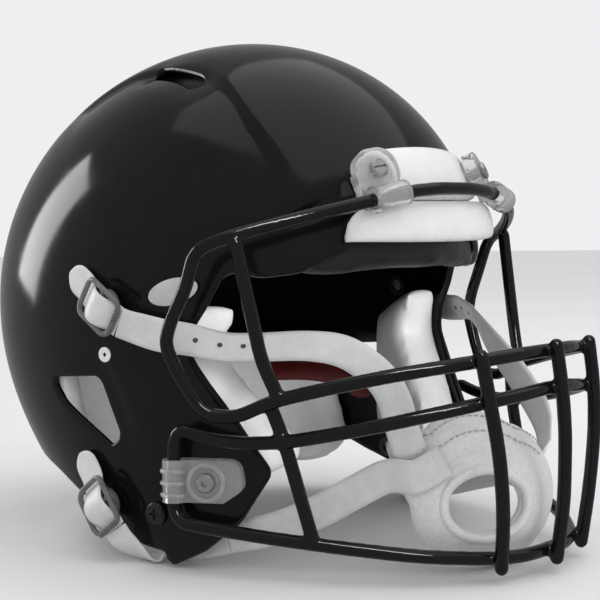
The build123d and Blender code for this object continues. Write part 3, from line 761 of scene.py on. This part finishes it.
def ribbon(name, centres, across, width, thick, material, material_under=None, round_end=False):
    """A flat strap along smooth stations, with rolled edges."""
    count = RIBBON_ROWS
    middle = smooth_path(centres, count)
    wide = smooth_path(across, count)
    spans = np.concatenate([[0], np.cumsum(np.linalg.norm(np.diff(middle, axis=0), axis=1))])
    points = []
    profile = 8
    section_u = np.concatenate([np.linspace(-1, 1, profile), np.linspace(1, -1, profile)])
    for i in range(count):
        ahead = middle[min(i + 1, count - 1)] - middle[max(i - 1, 0)]
        ahead /= np.linalg.norm(ahead)
        flat = wide[i] - ahead * (wide[i] @ ahead)
        flat /= np.linalg.norm(flat)
        up = np.cross(flat, ahead)
        half = width / 2
        run = spans[-1] - spans[i]
        if round_end and run < half:
            half = min(half, sqrt(max(half ** 2 - (half - run) ** 2, 0.3)))
        for k, u in enumerate(section_u):
            bend = thick / 2 * (1 - 0.75 * abs(u) ** 6)
            points.append(middle[i] + flat * (u * half) + up * (bend if k < profile else -bend))
    ring = len(section_u)
    faces = quads_between(count, ring, flip=True) + [cap[::-1] for cap in end_caps(count, ring)]
    piece = make_piece(name, points, faces, None, material, slot="strap_vinyl")
    if material_under:
        shades = [int(k >= profile) for _ in range(count - 1) for k in range(ring)] + [0, 0]
        piece.data.materials.append(material_under)
        piece.data.polygons.foreach_set("material_index", shades)
    return piece


def punched(name, centres, across, marks, radius, height, body):
    """Small dark eyelets on both faces of a strap, at shares of its length."""
    middle = smooth_path(centres, RIBBON_ROWS)
    wide = smooth_path(across, RIBBON_ROWS)
    around = 16
    parts = []
    for mark in marks:
        i = int(mark * (len(middle) - 1))
        ahead = middle[i + 1] - middle[i - 1]
        ahead /= np.linalg.norm(ahead)
        flat = wide[i] - ahead * (wide[i] @ ahead)
        flat /= np.linalg.norm(flat)
        up = np.cross(flat, ahead)
        for way in (1, -1):
            points, faces = [middle[i] + up * way * (height + 0.02)], []
            for k in range(around):
                angle = 2 * pi * k / around
                spoke = (flat * cos(angle) + ahead * sin(angle)) * radius
                points.append(middle[i] + up * way * height + spoke)
            for k in range(around):
                trio = (0, 1 + k, 1 + (k + 1) % around)
                faces.append(trio if way > 0 else trio[::-1])
            parts.append((points, faces))
    make_piece(name, *gather(parts), body, eyelet_dark, slot="strap_vinyl")


# Stations of each strap, from its buckle to the cup: its centre and the direction across it.
STRAPS = {
    "upper_strap_right": [
        ((-122, -7.1, 115.4), (0, -0.54, 0.84)), ((-118, -12.5, 113), (0, -0.45, 0.88)),
        ((-112.5, -26, 109.5), (0.2, -0.05, 1)), ((-107.5, -37, 108), (0.35, 0.2, 1)),
        ((-97.5, -51.5, 104.6), (0.5, 0.35, 0.8)), ((-87, -65.5, 104.4), (0.5, 0.35, 0.8)),
        ((-74.6, -83, 104.8), (0.45, 0.25, 0.8)), ((-65.4, -96, 102), (0.4, 0, 0.8)),
        ((-57.5, -107, 93), (0.5, -0.3, 0.7)), ((-53, -113.5, 82), (0.6, -0.6, 0.4)),
        ((-50, -117, 66), (0.6, -0.75, 0.1)), ((-46, -119.5, 53), (0.6, -0.75, 0.1))],
    "upper_strap_left": [
        ((122, -7.1, 115.4), (0, -0.54, 0.84)), ((118, -12.5, 113), (0, -0.45, 0.88)),
        ((112.5, -26, 111), (-0.2, -0.05, 1)), ((107.5, -37, 111), (-0.3, 0.2, 1)),
        ((99.5, -49, 111.5), (-0.4, 0.3, 0.9)), ((90, -63, 107), (-0.3, 0.1, 0.9)),
        ((78.6, -79.7, 97), (-0.1, -0.1, 0.9)), ((60.5, -106.5, 82.5), (0.1, -0.3, 0.9)),
        ((47, -126, 70), (0.15, -0.35, 0.9)), ((36, -138, 61.5), (0.15, -0.35, 0.9)),
        ((22.5, -146.5, 51), (0.15, -0.35, 0.9))],
    "lower_strap_right": [
        ((-119, 1.5, 16.4), (0, -0.8, 0.6)), ((-116, -1.8, 10.5), (0, -0.86, 0.5)),
        ((-106.5, -7, 2), (-0.1, -1, 0)), ((-98.5, -12.5, 3), (-0.4, -0.9, 0.25)),
        ((-93.5, -27, 9), (-0.1, 0.3, 0.9)), ((-89.5, -44, 14), (0, 0.2, 1)),
        ((-81, -64, 19), (0, 0.2, 1)), ((-70, -82, 27.5), (0, 0.2, 1)), ((-60, -98, 38), (0, 0.2, 1)),
        ((-54, -111, 45.5), (0, 0.35, 0.95)), ((-51.2, -124.5, 46.5), (0.05, 0.6, 0.8)),
        ((-42.6, -134.3, 53.6), (0.09, 0.67, 0.71))],
    "lower_strap_left": [
        ((119, 1.5, 16.4), (0, -0.8, 0.6)), ((116, -1.8, 10.5), (0, -0.86, 0.5)),
        ((106.5, -7, 2), (0.1, -1, 0)), ((98.5, -12.5, 3), (0.4, -0.9, 0.25)),
        ((93.5, -27, 9), (0.1, 0.3, 0.9)), ((89.5, -44, 14), (0, 0.2, 1)),
        ((80, -66, 21), (0, 0.2, 1)), ((66, -92, 29), (0, 0.2, 1)), ((52, -114, 36), (0, 0.2, 1)),
        ((40, -134, 44), (0, 0.2, 1))],
}
SPLIT = 5                 # the station where the rear half ends and the front half starts
LINING_OFFSET = (4, 3, -9)


for name, stations in STRAPS.items():
    place, _, label = name.split("_")
    near, far = stations[:SPLIT + 1], stations[SPLIT:]
    lined = name == "upper_strap_right"
    rear = ribbon(f"{name}_rear", *zip(*near), STRAP_WIDE, STRAP_THICK, strap_vinyl)
    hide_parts(name)
    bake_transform(rear)
    if place == "upper":
        punched(f"{name}_eyelets", *zip(*near), (0.66, 0.78, 0.9), 1.3, 0.87, "helmet")
    front = ribbon(f"{name}_front", *zip(*far), STRAP_WIDE, STRAP_THICK,
                   strap_red if lined else strap_vinyl, strap_vinyl if lined else None)
    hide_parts(name)
    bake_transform(front)
    if lined:
        inner = [(tuple(c + move for c, move in zip(centre, LINING_OFFSET)), turn)
                 for centre, turn in far[:4]]
        lining = ribbon(f"{name}_lining", *zip(*inner), 16, 1.2, strap_red, round_end=True)
        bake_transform(lining)


# ---------------------------------------------------------------- buckles and tails
# Y and Z of the stud, how far the buckle stands off, and the direction along it in the side view.
SNAPS = {"upper": (4.0, 122.5, 0.9, (0.84, 0.54)), "lower": (9.5, 27.0, 1.6, (0.60, 0.80))}
BUCKLE_LONG, BUCKLE_WIDE = 12.0, 9.4      # half sizes of the frame
CAP_PROFILE = [(3.7, 0.3), (7.6, 0.3), (8.2, 1.0), (8.2, 3.8), (7.4, 4.8), (5.0, 5.6), (0.05, 6.0)]
LOOP_PROFILE = [(-13.2, 4.2), (-10, 4.6), (-7, 6.8), (-3.5, 9.3), (0, 10.2), (3.5, 9.3), (7, 6.8),
                (10, 4.4), (13, 3.4)]
TAIL_PROFILE = [(12, 3.4), (17, 2.6), (23, 2.6), (29, 2.8)]


def buckle(name, node, body, base, along, over, out):
    """Bowed wire frame with a toothed front bar, a middle bar, and the snap's cap under it."""
    def at(u, v, height):
        return base + along * u + over * v + out * height

    a, b = BUCKLE_LONG, BUCKLE_WIDE
    rim = rounded([(-a, -b), (a, -b), (a, b), (-a, b)], [4.5] * 4)
    parts = [tube([at(u, v, 8.3 - 1.5 * (u / a) ** 2) for u, v in rim], 1.35, 10, closed=True)]
    parts.append(tube([at(0, v, 7.6) for v in (-b, 0, b)], 1.3, 10))
    for v in np.arange(-7, 7.1, 1.75):
        parts.append(tube([at(-13.2, v, 7.3), at(-12, v, 8.4), at(-10.8, v, 7.3)], 0.5, 6))
    around = 32
    points = [at(r * cos(2 * pi * k / around), r * sin(2 * pi * k / around), h)
              for r, h in CAP_PROFILE for k in range(around)]
    faces = quads_between(len(CAP_PROFILE), around) + end_caps(len(CAP_PROFILE), around)[1:]
    parts.append((points, faces))
    make_piece(name, *gather(parts), body, buckle_grey, (node,), "buckle_grey")


for label, side in SIDES.items():
    for place, (y, z, lift, slope) in SNAPS.items():
        body = f"snap_{place}_{label}"
        base = on_side(side, y, z) + np.array((side * (lift + 1.5), 0, 0))
        along = np.array((0, *slope))
        out = np.array((side, 0, 0))
        over = np.cross(along, out)
        buckle(f"buckle_frame_{place}_{label}", f"buckle_{place}_{label}", body, base, along, over, out)
        band = [base + along * reach + out * height for reach, height in LOOP_PROFILE]
        loop = ribbon(f"strap_loop_{place}_{label}", band, [over] * len(band), 15.2, 1.5, strap_vinyl)
        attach(loop, body)
        tail = [base + along * reach + out * height for reach, height in TAIL_PROFILE]
        end = ribbon(f"strap_end_{place}_{label}", tail, [over] * len(tail), STRAP_WIDE, STRAP_THICK,
                     strap_vinyl, round_end=True)
        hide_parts(f"strap_tail_{place}_{label}")
        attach(end, body)


# ---------------------------------------------------------------- chin cup
CUP_AT = np.array((-4.0, -112.0, 33.0))
CUP_YAW = radians(30)
CUP_SIZE = np.array((50.0, 48.0, 42.0))
CUP_ACROSS = np.array((cos(CUP_YAW), -sin(CUP_YAW), 0))
CUP_FACING = np.array((-sin(CUP_YAW), -cos(CUP_YAW), 0))


def on_cup(u, v, sunk):
    """Point of the cup's egg at (u, v) of its own front view, and the outward direction there."""
    size = CUP_SIZE - sunk
    base = CUP_ACROSS * u + np.array((0, 0, v))
    a = np.sum((CUP_FACING / size) ** 2)
    b = 2 * np.sum(base * CUP_FACING / size ** 2)
    c = np.sum((base / size) ** 2) - 1
    depth = (-b + sqrt(max(b * b - 4 * a * c, 0))) / (2 * a)
    at = base + CUP_FACING * depth
    out = at / size ** 2
    return CUP_AT + at, out / np.linalg.norm(out)


CUP_HOLE = np.array((-4.0, 0.0))
HOLE_SIZE = (18.0, 13.6)
CUP_SUNK = 4.4            # depth of the ring's middle under the egg
CUP_THICK, CUP_THINNING = 4.3, 1.2
cup_rim = rounded([(46, -10), (42, 21), (25, 30.5), (-24, 30.5), (-38, 22), (-37, 4), (-21, -27), (0, -31),
                   (32, -29)], [12, 10, 10, 8, 8, 20, 12, 20, 12]) - CUP_HOLE
rim_angles = np.arctan2(cup_rim[:, 1], cup_rim[:, 0])
rim_reach = np.hypot(*cup_rim.T)


def cup_outline(angle, inner):
    """Rim of the cup's ring, or of its hole, in its front view."""
    way = np.array((cos(angle), sin(angle)))
    if inner:
        return CUP_HOLE + way * HOLE_SIZE
    return CUP_HOLE + way * np.interp(angle, rim_angles, rim_reach, period=2 * pi)


def cup_ring():
    """The cup's padded ring, puffed between its hole and its rim."""
    around, across = 120, 22
    points = []
    for i in range(around):
        angle = 2 * pi * i / around
        hole, rim = np.array(cup_outline(angle, True)), np.array(cup_outline(angle, False))
        for k in range(across):
            turn = 2 * pi * k / across
            s = (1 - cos(turn)) / 2
            share = 0.5 - 0.5 * np.sign(cos(turn)) * abs(cos(turn)) ** 0.55
            u, v = hole + (rim - hole) * share
            puff = np.sign(sin(turn)) * abs(sin(turn)) ** 0.6
            thick = CUP_THICK - CUP_THINNING * s
            at, out = on_cup(u, v, CUP_SUNK)
            points.append(at + out * (thick * puff))
    faces = quads_between(around, across, closed=True, flip=True)
    ring = make_piece("chin_cup_knit", points, faces, "chin_cup", cup_knit, ("chin_cup", "chin_cup_lining"),
                      "cup_fabric")
    finer = ring.modifiers.new("finer", "SUBSURF")
    finer.levels = finer.render_levels = 1


def stitches(name, paths, body, radius=0.38, dash=2.0, gap=1.3):
    """Short raised threads along each path."""
    parts = []
    for path in paths:
        path = np.array(path)
        spans = np.concatenate([[0], np.cumsum(np.linalg.norm(np.diff(path, axis=0), axis=1))])
        at = 0.0
        while at + dash < spans[-1]:
            run = [[np.interp(s, spans, path[:, c]) for c in range(3)]
                   for s in (at, at + dash / 2, at + dash)]
            parts.append(tube(run, radius, 6))
            at += dash + gap
    make_piece(name, *gather(parts), body, thread, slot="cup_fabric")


def cup_line(share, angles, height=0.15):
    """A line on the cup at a share of the way from its hole to its rim."""
    path = []
    for angle in angles:
        hole, rim = np.array(cup_outline(angle, True)), np.array(cup_outline(angle, False))
        u, v = hole + (rim - hole) * share
        at, out = on_cup(u, v, CUP_SUNK)
        path.append(at + out * (CUP_THICK - CUP_THINNING * share + height))
    return path


cup_ring()
top_arc = np.linspace(radians(28), radians(128), 80)
seams = [cup_line(0.86, top_arc), cup_line(0.64, top_arc)]
for share in (0.5, 0.66, 0.82):
    seams.append(cup_line(share, np.linspace(radians(132), radians(150), 12), 2.4))
stitches("chin_cup_stitches", seams, "chin_cup")
make_piece("chin_cup_lip", *tube(cup_line(0.05, circle(159), -1.6), 2.3, 12, closed=True), "chin_cup",
           cup_knit, slot="cup_fabric")


# ---------------------------------------------------------------- studio
CENTRE = (0, 0, 0.13)


def area_light(name, at, size, power):
    """A soft lamp that faces the middle of the helmet."""
    light = bpy.data.lights.new(name, "AREA")
    light.shape = "RECTANGLE"
    light.size, light.size_y = size
    light.energy = power
    lamp = bpy.data.objects.new(name, light)
    scene.collection.objects.link(lamp)
    lamp.location = at
    lamp.rotation_euler = (Vector(CENTRE) - Vector(at)).to_track_quat("-Z", "Z").to_euler()
    return lamp


def link_light(lamp, pieces, state="INCLUDE"):
    """The lamp lights these pieces and no others, or with EXCLUDE all others and not these."""
    linked = bpy.data.collections.new(f"linked_to_{lamp.name}")
    for piece in pieces:
        linked.objects.link(piece)
    for entry in linked.collection_objects:
        entry.light_linking.link_state = state
    lamp.light_linking.receiver_collection = linked


strip = area_light("strip_left", (-0.50, 1.42, 0.55), (0.45, 0.95), 8)
area_light("top_soft", (0.3, -0.3, 1.7), (2.3, 2.3), 11)
area_light("front_fill", (0.1, -1.9, 0.7), (1.0, 0.9), 5).visible_glossy = False
link_light(area_light("wire_glint", (-0.9, -1.1, 1.5), (0.16, 1.3), 24), [mask])
pale = [piece for piece in scene.objects if piece.name.startswith(("jaw_pad", "neck_pad", "upper_strap_left"))
        and piece.name.endswith(("_soft", "_front"))]
link_light(area_light("liner_fill", (-0.5, -1.7, 0.5), (1.0, 0.8), 26), pale)

world = bpy.data.worlds.new("studio")
scene.world = world
world.use_nodes = True
world.node_tree.nodes["Background"].inputs["Color"].default_value = (0.93, 0.94, 0.95, 1)
# Reflections see a dimmer room than the white surfaces do, as between dark studio flags.
seen_by = add_node(world.node_tree, "ShaderNodeLightPath")
room = add_node(world.node_tree, "ShaderNodeMapRange", {"To Min": 0.92, "To Max": 0.36})
world.node_tree.links.new(seen_by.outputs["Is Glossy Ray"], room.inputs["Value"])
world.node_tree.links.new(room.outputs["Result"], world.node_tree.nodes["Background"].inputs["Strength"])

FLOOR_RINGS, FLOOR_SPOKES, FLOOR_RADIUS, FLOOR_Z = 14, 64, 6000, -0.3
floor_points = []
for i in range(FLOOR_RINGS + 1):
    radius = FLOOR_RADIUS * (i / FLOOR_RINGS) ** 2
    for k in range(FLOOR_SPOKES):
        angle = 2 * pi * k / FLOOR_SPOKES
        floor_points.append((radius * cos(angle), radius * sin(angle), FLOOR_Z))
floor_faces = quads_between(FLOOR_RINGS + 1, FLOOR_SPOKES, flip=True)
floor_paint = finish_of("floor_paint", (0.82, 0.82, 0.82), (0.85, 0.85, 0.85), 0.7, 3, 0.05, 0.05, 60)
floor = make_piece("studio_floor", floor_points, floor_faces, None, floor_paint)
floor.visible_glossy = False
# The strip stands close to the floor and would throw a hard-edged pool of light on it.
link_light(strip, [floor], "EXCLUDE")
scene.view_settings.view_transform = "Standard"
